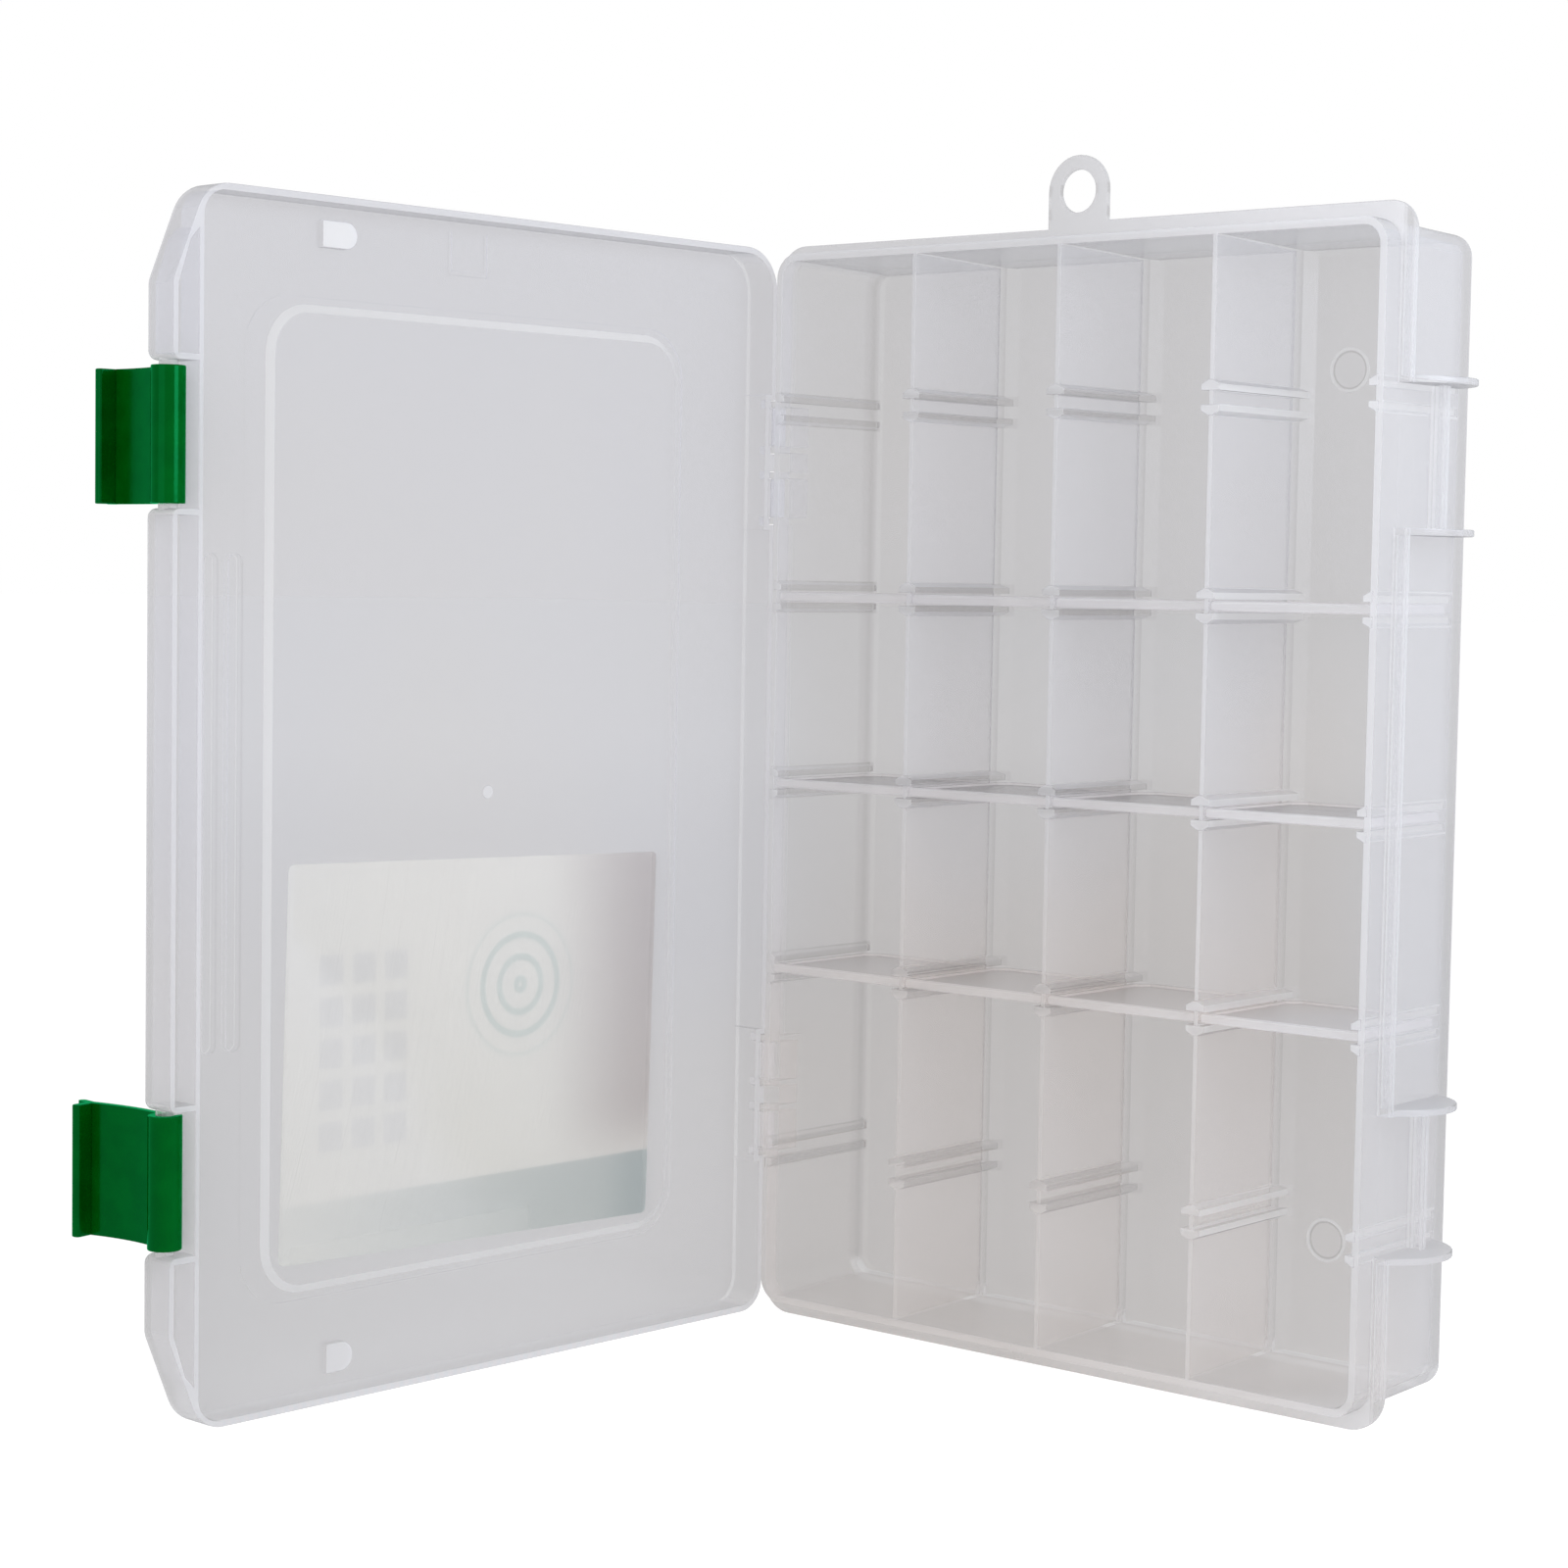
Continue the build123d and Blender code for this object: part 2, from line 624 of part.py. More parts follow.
def printed_sheet():
    """The printed sheet stuck on the sunk face of the lid's outer side."""
    width, height = SHEET_SIZE
    sheet = Pos(*SHEET_CENTRE) * Rot(0, 0, SHEET_TURN) * RectangleRounded(width, height, SHEET_CORNER)
    back_z = LID_TOP - SUNK_DEPTH
    return upright(sheet, (back_z, back_z + SHEET_THICK))


def place_pieces():
    """Every piece in the shown pose, still about the hinge, standing on its edge."""
    stand = Rot(90, 0, 0)
    open_lid = Rot(0, -LID_OPEN, 0)
    pieces = {
        "tray": stand * tray(),
        "lid": stand * open_lid * lid(),
        "lid_sheet": stand * open_lid * printed_sheet(),
    }
    for bay, (name, swing) in zip(BAYS, LATCH_OPEN.items()):
        pivot = Pos(PIVOT_X, bay, PIVOT_Z)
        pieces[name] = stand * open_lid * pivot * Rot(0, -swing, 0) * latch()
    for row, level in DIVIDER_LEVELS.items():
        for column in range(4):
            piece = stand * Pos(0, level, 0) * divider(column)
            pieces[f"divider_{row}_{column + 1}"] = piece
    return pieces


def centre_over_base(pieces):
    """Move all pieces so that the origin is under the middle of their common box."""
    box = Compound(children=[piece.solid() for piece in pieces.values()]).bounding_box()
    shift = Pos(-box.center().X, -box.center().Y, -box.min.Z)
    moved = {name: shift * piece.solid() for name, piece in pieces.items()}
    return moved, shift


parts, origin_shift = centre_over_base(place_pieces())
print("hinge axis at", origin_shift.position)

os.makedirs("parts", exist_ok=True)
for node, solid in parts.items():
    export_step(solid, f"parts/{node}.step")
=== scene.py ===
import math

import bpy
from mathutils import Matrix, Vector


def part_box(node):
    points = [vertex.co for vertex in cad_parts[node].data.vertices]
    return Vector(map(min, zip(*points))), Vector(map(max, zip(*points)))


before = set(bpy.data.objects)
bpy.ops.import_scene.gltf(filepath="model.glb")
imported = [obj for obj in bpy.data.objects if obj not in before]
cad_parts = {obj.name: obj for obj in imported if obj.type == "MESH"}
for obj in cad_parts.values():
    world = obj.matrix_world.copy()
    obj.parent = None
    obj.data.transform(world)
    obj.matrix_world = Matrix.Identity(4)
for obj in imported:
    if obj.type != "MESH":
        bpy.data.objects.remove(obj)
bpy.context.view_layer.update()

# The camera was fitted to the photograph: its place, turns in degrees and focal length
CAMERA_AT = Vector((0.60818, -0.72219, 0.2464))
CAMERA_YAW = 40.24
CAMERA_PITCH = 3.675
CAMERA_ROLL = 0.959
CAMERA_FOCAL_PX = 3317.0
PHOTO_PX = 1600.0
SENSOR = 36.0
NEAR_CLIP = 0.01
FAR_CLIP = 100.0

# The hinge axis and the angle the lid stands open by, past the square
HINGE_AT = (-0.0942169, 0.100807, 0.0)
LID_LEAN = 2.8

# How bright the surroundings are, as light on the object, and their colours at each side
WORLD_LIGHT = 0.6
LIGHT_LEFT = (0.97, 0.95, 0.94, 1.0)
LIGHT_RIGHT = (1.03, 1.04, 1.1, 1.0)
WHITE = (1.0, 1.0, 1.0, 1.0)

# The floor around the object: its size, how far it lies below, and what rays see of it
FLOOR_SIZE = 40.0
FLOOR_DROP = 0.0002
FLOOR_GLOW = 0.83
FLOOR_SHADE = (0.33, 0.33, 0.33, 1.0)
# Seen through the plastic, the floor glows dimmer near the object: a painted shade around it
BEHIND_NEAR = 0.2
BEHIND_FAR = 4.0
BEHIND_NEAR_LIGHT = 0.55
BEHIND_FAR_LIGHT = 0.73
BEHIND_GLOW = (0.99, 0.98, 0.98, 1.0)
BEHIND_SHADE = (0.25, 0.248, 0.246, 1.0)

# The softest steps are pairs: the value at which a mark starts and where it is whole.
# Depth of the tray's floor face, where marks on its inside end
TRAY_INSIDE = (0.1446, 0.1442)
# Depths at which the feet of the fixed walls start, darkened by painted shade where they meet the
# floor, and heights under which they are pale
FOOT_DEPTH = (0.137, 0.140)
FOOT_LOW = (0.014, 0.01)
# Where the lowest pair of rails is, and how far one pair is above the next
RAIL_START = 0.0552
RAIL_PITCH = 0.0614
# How far from the middle of its pair a rail starts and ends
RAIL_NEAR = (0.0018, 0.0021)
RAIL_FAR = (0.0054, 0.0051)
# Where the rails start and end across the tray, and where they turn from dark, painted shade over
# their thicker plastic, to pale, painted light toward the lamp at the right
RAILS_LEFT = (-0.0875, -0.087)
RAILS_RIGHT = (0.137, 0.1365)
RAIL_SHADE_FADE = (0.02, 0.1)
RAIL_LIT = (0.045, 0.08)
# The rings on the tray's floor: the height midway between them, and their centre from there
RING_MIDDLE = 0.178
RING_AT = (0.09728, 0.0, 0.1333)
RING_DEPTH = (0.142, 0.1425)
RING_INNER = (0.0058, 0.006)
RING_OUTER = (0.007, 0.0067)
RING_GROOVE = (0.0051, 0.0054)
# Height at which the top wall starts
TOP_WALL = (0.335, 0.34)

# Where the tray's edges are milky: across and up, where painted light from the lamp at the upper right
# makes them whiter, and on the flange beside the lip
EDGE_LIGHT_ACROSS = (0.0, 0.1)
EDGE_LIGHT_UP = (0.06, 0.15)
FLANGE_START = (0.1385, 0.1392)
FLANGE_LINE = (0.1416, 0.1422)
FLANGE_END = (0.1434, 0.143)

# Depths of the lid's panel, in the turned space: its raised field and its upper block, where painted
# highlights go
FIELD_DEPTH = (-0.1035, -0.104)
BLOCK_BACK = (-0.1035, -0.1032)
BLOCK_FRONT = (-0.1016, -0.102)
BLOCK_HEIGHT = (0.28, 0.3)

# What is left of light that passes through the marked parts
FOOT_TINT = (0.93, 0.925, 0.922, 1.0)
RAIL_TINT = (0.86, 0.855, 0.85, 1.0)
PALE_TINT = (0.99, 0.99, 0.99, 1.0)
TOP_TINT = (0.998, 0.996, 0.996, 1.0)

# The clear plastic's gloss
CLEAR_SHINE = (0.5, 0.5, 0.505, 1.0)
CLEAR_ROUGHNESS = 0.25
CLEAR_IOR = 1.45


class Graph:
    """A short way to write a material's nodes."""

    def __init__(self, tree):
        self.tree = tree
        tree.nodes.clear()

    def node(self, kind, inputs=None, **settings):
        made = self.tree.nodes.new(kind)
        for key, value in settings.items():
            setattr(made, key, value)
        for key, value in (inputs or {}).items():
            self.feed(made, key, value)
        return made

    def feed(self, node, key, value):
        if isinstance(value, bpy.types.NodeSocket):
            self.tree.links.new(value, node.inputs[key])
        else:
            node.inputs[key].default_value = value

    def math(self, operation, first, second=0.0):
        made = self.node("ShaderNodeMath", {0: first, 1: second}, operation=operation)
        return made.outputs[0]

    def product(self, *values):
        result = values[0]
        for value in values[1:]:
            result = self.math("MULTIPLY", result, value)
        return result

    def ramp(self, value, low, high, start=0.0, end=1.0, smooth=True):
        """value mapped from low..high to start..end, held past both."""
        made = self.node(
            "ShaderNodeMapRange",
            {"Value": value, "From Min": low, "From Max": high, "To Min": start, "To Max": end},
            interpolation_type="SMOOTHSTEP" if smooth else "LINEAR",
        )
        return made.outputs["Result"]

    def fade(self, value, end, smooth=True):
        """1 where value is 0, and end where it is 1."""
        return self.ramp(value, 0.0, 1.0, 1.0, end, smooth)

    def window(self, value, rise, fall):
        """1 between two soft steps, each given as where it starts and ends."""
        return self.product(self.ramp(value, *rise), self.ramp(value, *fall))

    def blend(self, factor, first, second):
        made = self.node("ShaderNodeMix", data_type="RGBA")
        self.feed(made, 0, factor)
        self.feed(made, 6, first)
        self.feed(made, 7, second)
        return made.outputs[2]

    def noise(self, vector, scale, detail=2.0):
        made = self.node(
            "ShaderNodeTexNoise",
            {"Vector": vector, "Scale": scale, "Detail": detail, "Roughness": 0.5},
        )
        return made.outputs[0]

    def split(self, vector):
        made = self.node("ShaderNodeSeparateXYZ", {0: vector})
        return made.outputs

    def join(self, x, y, z):
        made = self.node("ShaderNodeCombineXYZ", {0: x, 1: y, 2: z})
        return made.outputs[0]

    def distance(self, first, second):
        made = self.node("ShaderNodeVectorMath", {0: first, 1: second}, operation="DISTANCE")
        return made.outputs["Value"]

    def shaders(self, factor, first, second):
        made = self.node("ShaderNodeMixShader", {0: factor, 1: first, 2: second})
        return made.outputs[0]

    def add(self, first, second):
        made = self.node("ShaderNodeAddShader", {0: first, 1: second})
        return made.outputs[0]


def rgb(red, green, blue):
    """A colour as it shows on screen, 0 to 255, as linear values."""

    def linear(value):
        value /= 255.0
        return value / 12.92 if value <= 0.04045 else ((value + 0.055) / 1.055) ** 2.4

    return (linear(red), linear(green), linear(blue), 1.0)


def lid_space(graph, point):
    """Row-frame coordinates turned so that the lid's panel faces straight along X."""
    turned = graph.node(
        "ShaderNodeVectorRotate",
        {
            "Vector": point,
            "Center": HINGE_AT,
            "Axis": (0.0, 0.0, 1.0),
            "Angle": math.radians(LID_LEAN),
        },
    )
    return turned.outputs[0]


def foot_marks(graph, point, normal):
    """The feet of the tray's fixed walls: those darkened where they meet the floor, painted shade on
    top of the thicker plastic of the foot, and the lowest, pale ones.
    """
    _, depth, height = graph.split(point)
    look = graph.split(normal)[1]
    foot = graph.window(depth, FOOT_DEPTH, TRAY_INSIDE)
    foot = graph.product(foot, graph.ramp(look, -0.5, -0.2))
    low_foot = graph.product(foot, graph.ramp(height, *FOOT_LOW))
    return graph.math("SUBTRACT", foot, low_foot), low_foot


def rail_marks(graph, point, normal):
    """The rails on the tray's walls: dark ones next to the hinge, painted shade on top of their
    thicker plastic, and pale ones across toward the right, painted light from the lamp there.
    """
    across, depth, height = graph.split(point)
    look = graph.split(normal)[0]
    level = graph.math("DIVIDE", graph.math("SUBTRACT", height, RAIL_START), RAIL_PITCH)
    level = graph.math("FRACT", graph.math("ADD", level, 1.5))
    away = graph.math("ABSOLUTE", graph.math("SUBTRACT", level, 0.5))
    away = graph.product(away, RAIL_PITCH)
    rail = graph.product(
        graph.window(away, RAIL_NEAR, RAIL_FAR),
        graph.ramp(graph.math("ABSOLUTE", look), 0.6, 0.9),
        graph.window(across, RAILS_LEFT, RAILS_RIGHT),
        graph.ramp(depth, *TRAY_INSIDE),
    )
    dark = graph.product(rail, graph.ramp(across, *RAIL_SHADE_FADE, 1.0, 0.15))
    pale = graph.product(rail, graph.ramp(across, *RAIL_LIT))
    return dark, pale


def ring_marks(graph, point):
    """The two rings on the tray's floor: painted shade in a groove inside each, and a painted
    highlight on the ring.
    """
    across, depth, height = graph.split(point)
    from_middle = graph.math("ABSOLUTE", graph.math("SUBTRACT", height, RING_MIDDLE))
    reach = graph.distance(graph.join(across, 0.0, from_middle), RING_AT)
    on_floor = graph.window(depth, RING_DEPTH, TRAY_INSIDE)
    ring = graph.window(reach, RING_INNER, RING_OUTER)
    groove = graph.window(reach, RING_GROOVE, RING_INNER[::-1])
    return graph.product(groove, on_floor), graph.product(ring, on_floor)


def top_mark(graph, point, normal):
    """The tray's top wall, which is seen at a slant."""
    height = graph.split(point)[2]
    look = graph.split(normal)[2]
    level_face = graph.ramp(graph.math("ABSOLUTE", look), 0.8, 0.95)
    return graph.product(level_face, graph.ramp(height, *TOP_WALL))


def edge_fade(graph, point):
    """How milky an edge is, with painted light from the lamp at the right: most at the upper right,
    least at the hinge and the foot.

    The flange beside the lip is thin and clear, up to its outer line.
    """
    across, _, height = graph.split(point)
    # The fade across and up is painted light from the lamp at the right
    fade = graph.product(
        graph.ramp(across, *EDGE_LIGHT_ACROSS, 0.35, 1.0), graph.ramp(height, *EDGE_LIGHT_UP, 0.5, 1.0)
    )
    flange = graph.ramp(across, *FLANGE_START, 1.0, 0.15)
    line = graph.product(graph.window(across, FLANGE_LINE, FLANGE_END), 0.7)
    return graph.product(fade, graph.math("MAXIMUM", flange, line))


def lid_highlights(graph, point, look):
    """Painted highlights on the lid, whiter and less see-through: lines on the slopes around its
    raised field, and the lit face of the upper block.
    """
    depth, _, height = graph.split(point)
    slant = graph.math("ABSOLUTE", look)
    slope = graph.window(slant, (0.97, 0.93), (0.5, 0.6))
    slope = graph.product(slope, graph.ramp(depth, *FIELD_DEPTH))
    block = graph.window(depth, BLOCK_BACK, BLOCK_FRONT)
    block = graph.product(block, graph.ramp(look, 0.75, 0.95), graph.ramp(height, *BLOCK_HEIGHT))
    return slope, block


def milk_colour(graph, point, cool, warm):
    """A colour that drifts from cool at the top and the right to warm, with faint flow. The drift by
    height and across is painted light: the tint of the cool lamp light from the upper right. The noise
    in it and the flow are the plastic's own uneven tone.
    """
    across, _, height = graph.split(point)
    # Painted light: cooler toward the top and the right, where the cool light falls
    fall = graph.ramp(height, 0.0, 0.36, 0.3, -0.3)
    fall = graph.math("ADD", fall, graph.ramp(across, 0.08, 0.14, 0.0, -0.4))
    drift = graph.math("ADD", graph.noise(point, 7.0, 1.0), fall)
    colour = graph.blend(graph.ramp(drift, 0.3, 0.7), cool, warm)
    flow = graph.noise(point, 40.0, 3.0)
    return graph.blend(graph.ramp(flow, 0.3, 0.75, 0.0, 0.1), colour, rgb(250, 250, 252))


def clear_surface(graph, colour, seen_tint, through):
    """Milk, a see-through part and a soft gloss, as one shader."""
    scatter_front = graph.node("ShaderNodeBsdfDiffuse", {"Color": colour})
    scatter_back = graph.node("ShaderNodeBsdfTranslucent", {"Color": colour})
    milk = graph.shaders(0.5, scatter_front.outputs[0], scatter_back.outputs[0])
    see = graph.node("ShaderNodeBsdfTransparent", {"Color": seen_tint})
    body = graph.shaders(through, milk, see.outputs[0])
    shine = graph.node("ShaderNodeBsdfGlossy", {"Color": CLEAR_SHINE, "Roughness": CLEAR_ROUGHNESS})
    fresnel = graph.node("ShaderNodeFresnel", {"IOR": CLEAR_IOR}).outputs[0]
    # Only the outer side shines: seen from inside, Fresnel would turn it into a mirror
    back = graph.node("ShaderNodeNewGeometry").outputs["Backfacing"]
    outer = graph.math("SUBTRACT", 1.0, back)
    return graph.shaders(graph.product(fresnel, outer), body, shine.outputs[0])


def plastic(name, cool, warm, tint, slant_tint, clear, edge_clear, edge_colour, edge_at, in_lid=False):
    """Milky see-through plastic, for the tray and its dividers or for the lid.

    cool and warm are the colours it drifts between, from the top down. tint is what is
    left of the light that passes straight through one surface, and slant_tint the same at
    a slant. clear is how much passes, and edge_clear is the part of that which the narrow
    edges of the walls let through, in edge_colour. edge_at is the depth at which faces
    that look out of the mouth stop being edges.
    """
    material = bpy.data.materials.new(name)
    material.use_nodes = True
    graph = Graph(material.node_tree)
    coordinates = graph.node("ShaderNodeTexCoord")
    point = coordinates.outputs["Object"]
    normal = coordinates.outputs["Normal"]
    if in_lid:
        point = lid_space(graph, point)
        depth = graph.split(point)[0]
        look = graph.split(normal)[0]
        edge = graph.ramp(depth, edge_at - 0.0003, edge_at)
        edge = graph.product(edge, graph.ramp(look, 0.75, 0.95))
    else:
        depth = graph.split(point)[1]
        look = graph.split(normal)[1]
        edge = graph.ramp(depth, edge_at, edge_at - 0.001)
        edge = graph.product(edge, edge_fade(graph, point), graph.ramp(look, -0.75, -0.95))

    colour = graph.blend(edge, milk_colour(graph, point, cool, warm), edge_colour)
    facing = graph.node("ShaderNodeLayerWeight", {"Blend": 0.5}).outputs["Facing"]
    through = graph.ramp(facing, 0.3, 1.0, clear, clear * 0.75)
    through = graph.product(through, graph.fade(edge, edge_clear, smooth=False))
    seen_tint = graph.blend(graph.ramp(facing, 0.45, 0.95), tint, slant_tint)
    if in_lid:
        slope, block = lid_highlights(graph, point, look)
        # Painted highlights: the field's slopes and the upper block's lit face, in white
        colour = graph.blend(graph.math("MAXIMUM", slope, block), colour, rgb(253, 253, 253))
        through = graph.product(through, graph.fade(slope, 0.7), graph.fade(block, 0.5))
    else:
        foot, low_foot = foot_marks(graph, point, normal)
        rail, pale_rail = rail_marks(graph, point, normal)
        groove, ring = ring_marks(graph, point)
        # The rings' grooves join the rails' painted shade, and their ridges join the pale marks as a
        # painted highlight
        rail = graph.math("MAXIMUM", rail, groove)
        pale = graph.math("MAXIMUM", graph.math("MAXIMUM", pale_rail, low_foot), ring)
        seen_tint = graph.blend(top_mark(graph, point, normal), seen_tint, TOP_TINT)
        seen_tint = graph.blend(foot, seen_tint, FOOT_TINT)
        seen_tint = graph.blend(rail, seen_tint, RAIL_TINT)
        seen_tint = graph.blend(pale, seen_tint, PALE_TINT)
        # Painted shade at the feet of the fixed walls, where they meet the floor
        colour = graph.blend(graph.product(foot, 0.4), colour, rgb(226, 224, 224))
        # Painted shade on the rails, darkest next to the hinge, and in the rings' grooves
        colour = graph.blend(graph.product(rail, 0.7), colour, rgb(208, 206, 205))
        # Pale marks: painted light on the rails toward the right, a painted highlight on the floor
        # rings, and the lowest feet
        colour = graph.blend(pale, colour, rgb(252, 252, 252))
        through = graph.product(through, graph.fade(pale, 0.8))

    surface = clear_surface(graph, colour, seen_tint, through)
    graph.node("ShaderNodeOutputMaterial", {"Surface": surface})
    return material


def latch_plastic():
    """Deep green glossy plastic."""
    material = bpy.data.materials.new("latch_green")
    material.use_nodes = True
    graph = Graph(material.node_tree)
    point = graph.node("ShaderNodeTexCoord").outputs["Object"]
    cloud = graph.ramp(graph.noise(point, 120.0), 0.3, 0.7)
    colour = graph.blend(cloud, rgb(0, 76, 6), rgb(0, 86, 12))
    grain = graph.noise(point, 900.0)
    bump = graph.node(
        "ShaderNodeBump", {"Height": grain, "Strength": 0.05, "Distance": 0.0003}
    ).outputs[0]
    body = graph.node("ShaderNodeBsdfDiffuse", {"Color": colour, "Normal": bump})
    shine = graph.node(
        "ShaderNodeBsdfGlossy", {"Color": (0.02, 0.66, 0.24, 1.0), "Roughness": 0.13, "Normal": bump}
    )
    fresnel = graph.node("ShaderNodeFresnel", {"IOR": 1.5, "Normal": bump}).outputs[0]
    surface = graph.shaders(fresnel, body.outputs[0], shine.outputs[0])
    graph.node("ShaderNodeOutputMaterial", {"Surface": surface})
    return material


def teal_band(graph, across, up, near, far, bottom):
    """The band along the sheet's foot, stronger toward the hinge side."""
    band = graph.ramp(up, bottom + 0.0215, bottom + 0.0205)
    side = graph.ramp(across, near, far, 0.12, 0.72, smooth=False)
    corner = graph.ramp(across, far - 0.028, far - 0.006, 0.0, 0.28)
    return graph.product(band, graph.math("ADD", side, corner))


def ripples(graph, across, up, centre):
    """Two fading circles around a dot."""
    place = graph.join(0.0, *centre)
    reach = graph.distance(graph.join(0.0, across, up), place)
    rings = graph.math("SINE", graph.product(reach, 900.0))
    return graph.product(graph.ramp(rings, 0.3, 0.8), graph.ramp(reach, 0.024, 0.02))


def cells(graph, across, up, start, cell=0.0125):
    """A grid of three by five cells that starts at one corner."""
    grid = []
    for value, first, count in zip((across, up), start, (3, 5)):
        place = graph.math("DIVIDE", graph.math("SUBTRACT", value, first), cell)
        off_centre = graph.math("SUBTRACT", graph.math("FRACT", place), 0.5)
        off_centre = graph.math("ABSOLUTE", off_centre)
        last = first + count * cell
        grid.append(graph.ramp(off_centre, 0.38, 0.33))
        grid.append(graph.ramp(value, first - 0.0002, first))
        grid.append(graph.ramp(value, last + 0.0002, last))
    return graph.product(*grid)


def sheet_print():
    """A pale printed sheet: a teal band, ripples and a small grid of cells."""
    material = bpy.data.materials.new("sheet_print")
    material.use_nodes = True
    graph = Graph(material.node_tree)
    point = lid_space(graph, graph.node("ShaderNodeTexCoord").outputs["Object"])
    _, across, up = graph.split(point)
    (_, near, bottom), (_, far, top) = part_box("lid_sheet")

    colour = graph.blend(graph.ramp(up, bottom, top), rgb(239, 238, 233), rgb(241, 240, 236))
    shade = graph.ramp(across, far - 0.055, far, 0.0, 0.75)
    shade = graph.product(shade, graph.ramp(up, bottom + 0.01, bottom + 0.04))
    colour = graph.blend(shade, colour, rgb(207, 200, 197))
    band = teal_band(graph, across, up, near, far, bottom)
    colour = graph.blend(band, colour, rgb(197, 205, 203))
    rings = ripples(graph, across, up, (near + 0.094, bottom + 0.08))
    colour = graph.blend(graph.product(rings, 0.22), colour, rgb(158, 194, 190))
    grid = cells(graph, across, up, (near + 0.012, bottom + 0.034))
    colour = graph.blend(graph.product(grid, 0.13), colour, rgb(190, 192, 202))
    fibre = graph.ramp(graph.noise(point, 700.0, 3.0), 0.3, 0.7, 0.0, 0.05)
    colour = graph.blend(fibre, colour, rgb(200, 200, 200))

    face = graph.node("ShaderNodeBsdfPrincipled", {"Base Color": colour, "Roughness": 0.38})
    back = graph.node("ShaderNodeBsdfTranslucent", {"Color": colour})
    surface = graph.shaders(0.45, face.outputs[0], back.outputs[0])
    graph.node("ShaderNodeOutputMaterial", {"Surface": surface})
    return material


def dress(node, material):
    """Gives a CAD node a better material, on every one of its slots."""
    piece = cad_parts[node]
    if not piece.material_slots:
        piece.data.materials.append(material)
    for place in piece.material_slots:
        place.material = material


def area_lamp(name, at, aim, size, power, colour):
    """A soft square lamp at one point, aimed at another."""
    data = bpy.data.lights.new(name, "AREA")
    data.shape = "SQUARE"
    data.size = size
    data.energy = power
    data.color = colour
    lamp = bpy.data.objects.new(name, data)
    bpy.context.collection.objects.link(lamp)
    lamp.location = at
    lamp.rotation_euler = (Vector(aim) - Vector(at)).to_track_quat("-Z", "Y").to_euler()


def sees_background(graph):
    """1 for rays that should see the plain white background, 0 for rays that carry light.

    A ray that has come through the clear plastic counts as one that carries light, so
    that the plastic looks grey against the white, as it does in the photograph.
    """
    rays = graph.node("ShaderNodeLightPath")
    direct = graph.math("LESS_THAN", rays.outputs["Transparent Depth"], 0.5)
    direct = graph.product(rays.outputs["Is Camera Ray"], direct)
    seen = graph.math("MAXIMUM", direct, rays.outputs["Is Glossy Ray"])
    return graph.math("MAXIMUM", seen, rays.outputs["Is Transmission Ray"])


def make_world():
    """White to the eye, and a plain soft light on the object."""
    world = bpy.data.worlds.new("studio")
    bpy.context.scene.world = world
    world.use_nodes = True
    graph = Graph(world.node_tree)
    side = graph.split(graph.node("ShaderNodeTexCoord").outputs["Generated"])[0]
    colour = graph.blend(graph.ramp(side, -1.0, 1.0), LIGHT_LEFT, LIGHT_RIGHT)
    light = graph.node("ShaderNodeBackground", {"Color": colour, "Strength": WORLD_LIGHT})
    white = graph.node("ShaderNodeBackground", {"Color": WHITE, "Strength": 1.0})
    surface = graph.shaders(sees_background(graph), light.outputs[0], white.outputs[0])
    graph.node("ShaderNodeOutputWorld", {"Surface": surface})


def glow_and_shade(graph, colour, strength, shade):
    """A surface that glows by itself and keeps shadows."""
    glow = graph.node("ShaderNodeEmission", {"Color": colour, "Strength": strength})
    shadow = graph.node("ShaderNodeBsdfDiffuse", {"Color": shade})
    return graph.add(shadow.outputs[0], glow.outputs[0])


def make_floor():
    """A plain pale floor that keeps the object's shadow."""
    bpy.ops.mesh.primitive_plane_add(size=FLOOR_SIZE, location=(0.0, 0.0, -FLOOR_DROP))
    floor = bpy.context.object
    floor.name = "floor"
    material = bpy.data.materials.new("floor_pale")
    material.use_nodes = True
    graph = Graph(material.node_tree)
    place = graph.node("ShaderNodeTexCoord").outputs["Object"]
    tint = graph.blend(graph.noise(place, 3.0), rgb(238, 238, 238), rgb(242, 242, 242))
    plain = graph.node("ShaderNodeBsdfDiffuse", {"Color": tint}).outputs[0]
    shown = glow_and_shade(graph, WHITE, FLOOR_GLOW, FLOOR_SHADE)
    # Painted shade: seen through the plastic, the floor glows dimmer near the object
    distance = graph.node("ShaderNodeVectorMath", {0: place}, operation="LENGTH")
    level = graph.ramp(
        distance.outputs["Value"], BEHIND_NEAR, BEHIND_FAR,
        WORLD_LIGHT * BEHIND_NEAR_LIGHT, WORLD_LIGHT * BEHIND_FAR_LIGHT,
    )
    grey = glow_and_shade(graph, BEHIND_GLOW, level, BEHIND_SHADE)
    rays = graph.node("ShaderNodeLightPath")
    behind = graph.math("GREATER_THAN", rays.outputs["Transparent Depth"], 0.5)
    behind = graph.product(rays.outputs["Is Camera Ray"], behind)
    unseen = graph.shaders(behind, plain, grey)
    surface = graph.shaders(sees_background(graph), unseen, shown)
    graph.node("ShaderNodeOutputMaterial", {"Surface": surface})
    floor.data.materials.append(material)


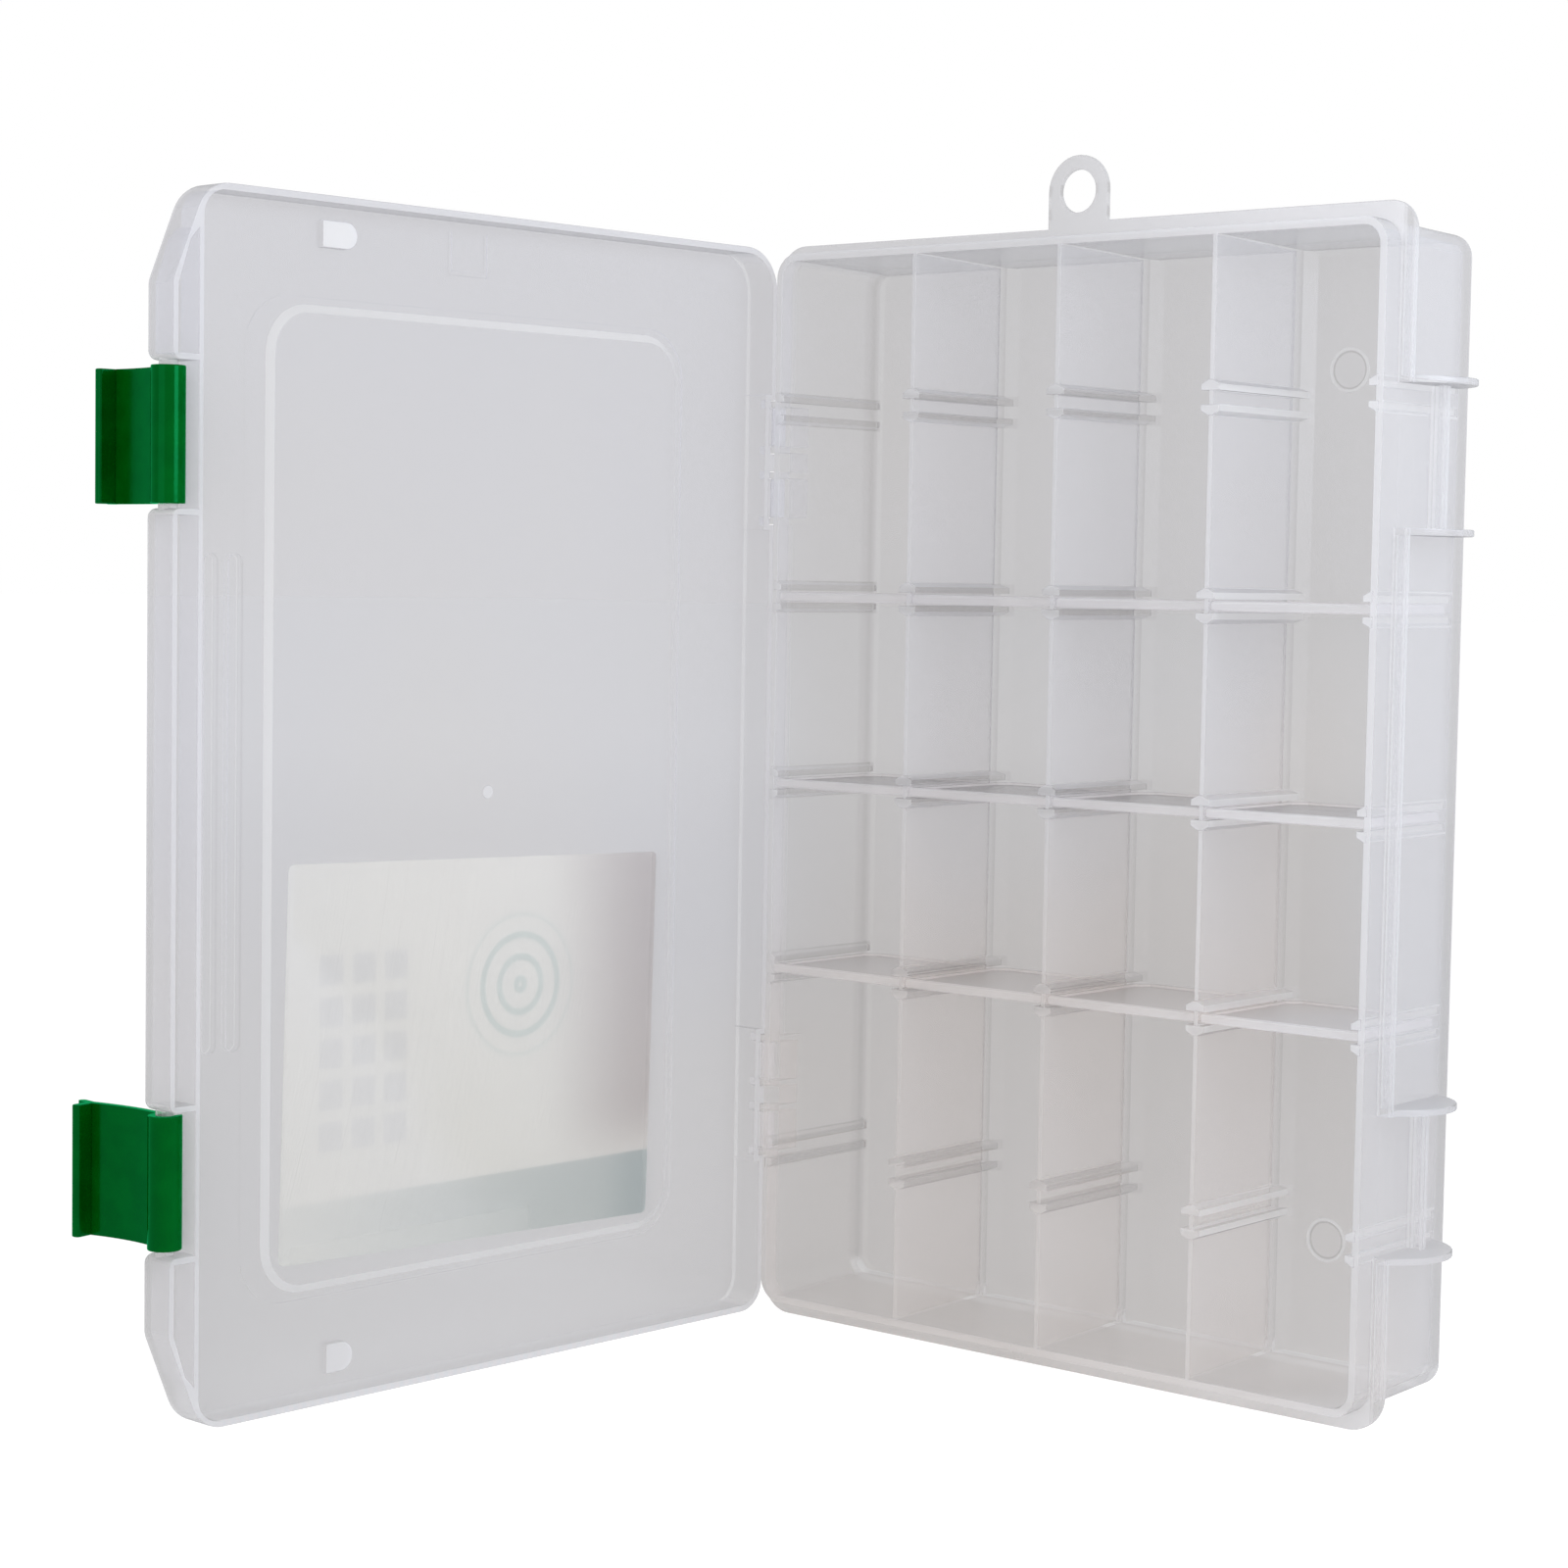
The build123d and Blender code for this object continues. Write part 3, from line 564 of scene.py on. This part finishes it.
def make_camera():
    """The photograph's view."""
    yaw, pitch, roll = (math.radians(a) for a in (CAMERA_YAW, CAMERA_PITCH, CAMERA_ROLL))
    forward = Vector(
        (-math.sin(yaw) * math.cos(pitch), math.cos(yaw) * math.cos(pitch), -math.sin(pitch))
    )
    level = Vector((math.cos(yaw), math.sin(yaw), 0.0))
    upward = level.cross(forward)
    right = math.cos(roll) * level + math.sin(roll) * upward
    top = math.cos(roll) * upward - math.sin(roll) * level
    data = bpy.data.cameras.new("photo_camera")
    data.sensor_width = SENSOR
    data.lens = CAMERA_FOCAL_PX / PHOTO_PX * SENSOR
    data.clip_start = NEAR_CLIP
    data.clip_end = FAR_CLIP
    camera = bpy.data.objects.new("photo_camera", data)
    bpy.context.collection.objects.link(camera)
    turn = Matrix((right, top, -forward)).transposed().to_4x4()
    camera.matrix_world = Matrix.Translation(CAMERA_AT) @ turn
    bpy.context.scene.camera = camera


def make_lamps():
    """A cool soft lamp close by at the right and a warm faint one at the front."""
    area_lamp(
        "lamp_right", at=(0.52, 0.06, 0.44), aim=(0.08, 0.08, 0.25),
        size=0.36, power=2.3, colour=(0.86, 0.91, 1.0),
    )
    area_lamp(
        "lamp_front", at=(0.1, -1.8, 0.7), aim=(0.02, 0.08, 0.18),
        size=1.4, power=5.5, colour=(1.0, 0.975, 0.95),
    )


make_world()
make_floor()
make_camera()
make_lamps()

scene = bpy.context.scene
scene.view_settings.view_transform = "Standard"
# Light crosses many clear walls on its way through the box
scene.cycles.transparent_max_bounces = 48
scene.cycles.max_bounces = 12
scene.cycles.diffuse_bounces = 8

tray_plastic = plastic(
    "tray_plastic", rgb(246, 247, 250), rgb(248, 243, 239),
    tint=(0.985, 0.982, 0.98, 1.0), slant_tint=(0.92, 0.917, 0.915, 1.0),
    clear=0.81, edge_clear=0.5, edge_colour=rgb(251, 251, 253), edge_at=0.134,
)
lid_plastic = plastic(
    "lid_plastic", rgb(247, 248, 253), rgb(250, 249, 249),
    tint=(0.99, 0.989, 0.992, 1.0), slant_tint=(0.87, 0.87, 0.872, 1.0),
    clear=0.77, edge_clear=0.72, edge_colour=rgb(252, 252, 254), edge_at=-0.1035, in_lid=True,
)
divider_plastic = plastic(
    "divider_plastic", rgb(246, 244, 245), rgb(248, 243, 240),
    tint=(0.984, 0.98, 0.978, 1.0), slant_tint=(0.93, 0.927, 0.923, 1.0),
    clear=0.66, edge_clear=0.6, edge_colour=rgb(250, 250, 251), edge_at=0.134,
)

dress("tray", tray_plastic)
dress("lid", lid_plastic)
dress("lid_sheet", sheet_print())
latch_green = latch_plastic()
for name in ("latch_lower", "latch_upper"):
    dress(name, latch_green)
for row in ("bottom", "middle", "top"):
    for column in range(1, 5):
        dress(f"divider_{row}_{column}", divider_plastic)
